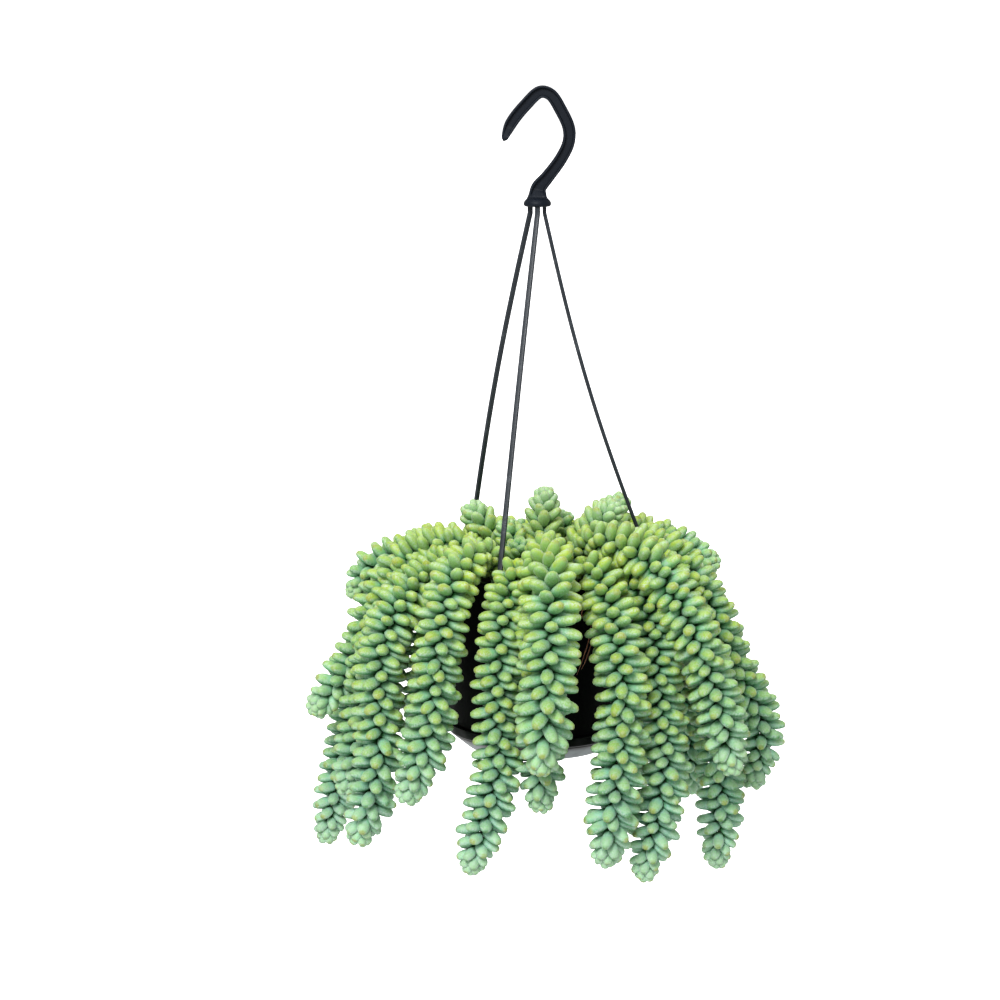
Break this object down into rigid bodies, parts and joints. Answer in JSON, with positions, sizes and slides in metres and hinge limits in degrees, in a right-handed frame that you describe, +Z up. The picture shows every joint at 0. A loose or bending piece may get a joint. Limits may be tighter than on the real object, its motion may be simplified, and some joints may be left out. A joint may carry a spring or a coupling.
{
  "type": "potted burros tail plant",
  "caption": "Trailing succulent with long plump-leaved tails in a tapered hanging pot with a clip-on drip saucer, hung by three strands from a moulded hook.",
  "frame": {"origin": "the hook's seat: the inside of its crown, where it rests on a rod or a bracket", "axes": "+Z up; the hook lies in the XZ plane and opens towards -X; the front of the plant faces -Y"},
  "size_m": [0.2968, 0.2567, 0.4845],
  "materials": {
    "hook_plastic": "satin",
    "strand_plastic": "satin",
    "pot_plastic": "satin",
    "saucer_plastic": "satin",
    "soil": "matte",
    "leaf": "matte"
  },
  "bodies": {
    "root": {"crown_back": "leaf", "crown_back_left": "leaf", "crown_centre_left": "leaf", "crown_far_right": "leaf", "crown_front": "leaf", "crown_front_left": "leaf", "crown_left": "leaf", "crown_middle": "leaf", "crown_right": "leaf", "crown_right_outer": "leaf", "hanger_hook": "hook_plastic", "hanger_strand_back": "strand_plastic", "hanger_strand_front": "strand_plastic", "hanger_strand_right": "strand_plastic", "pot": "pot_plastic", "saucer": "saucer_plastic", "soil": "soil", "tail_back_inner_102": "leaf", "tail_back_inner_137": "leaf", "tail_back_inner_50": "leaf", "tail_back_inner_76": "leaf", "tail_back_outer_114": "leaf", "tail_back_outer_146": "leaf", "tail_back_outer_63": "leaf", "tail_back_outer_89": "leaf", "tail_front_hero": "leaf", "tail_front_left": "leaf", "tail_front_under": "leaf", "tail_left_back": "leaf", "tail_left_front": "leaf", "tail_left_low": "leaf", "tail_left_mid": "leaf", "tail_left_outer": "leaf", "tail_left_top": "leaf", "tail_right_back": "leaf", "tail_right_front": "leaf", "tail_right_low": "leaf", "tail_right_mid": "leaf", "tail_right_outer": "leaf", "tail_right_over": "leaf", "tail_right_top": "leaf"}
  },
  "joints": []
}
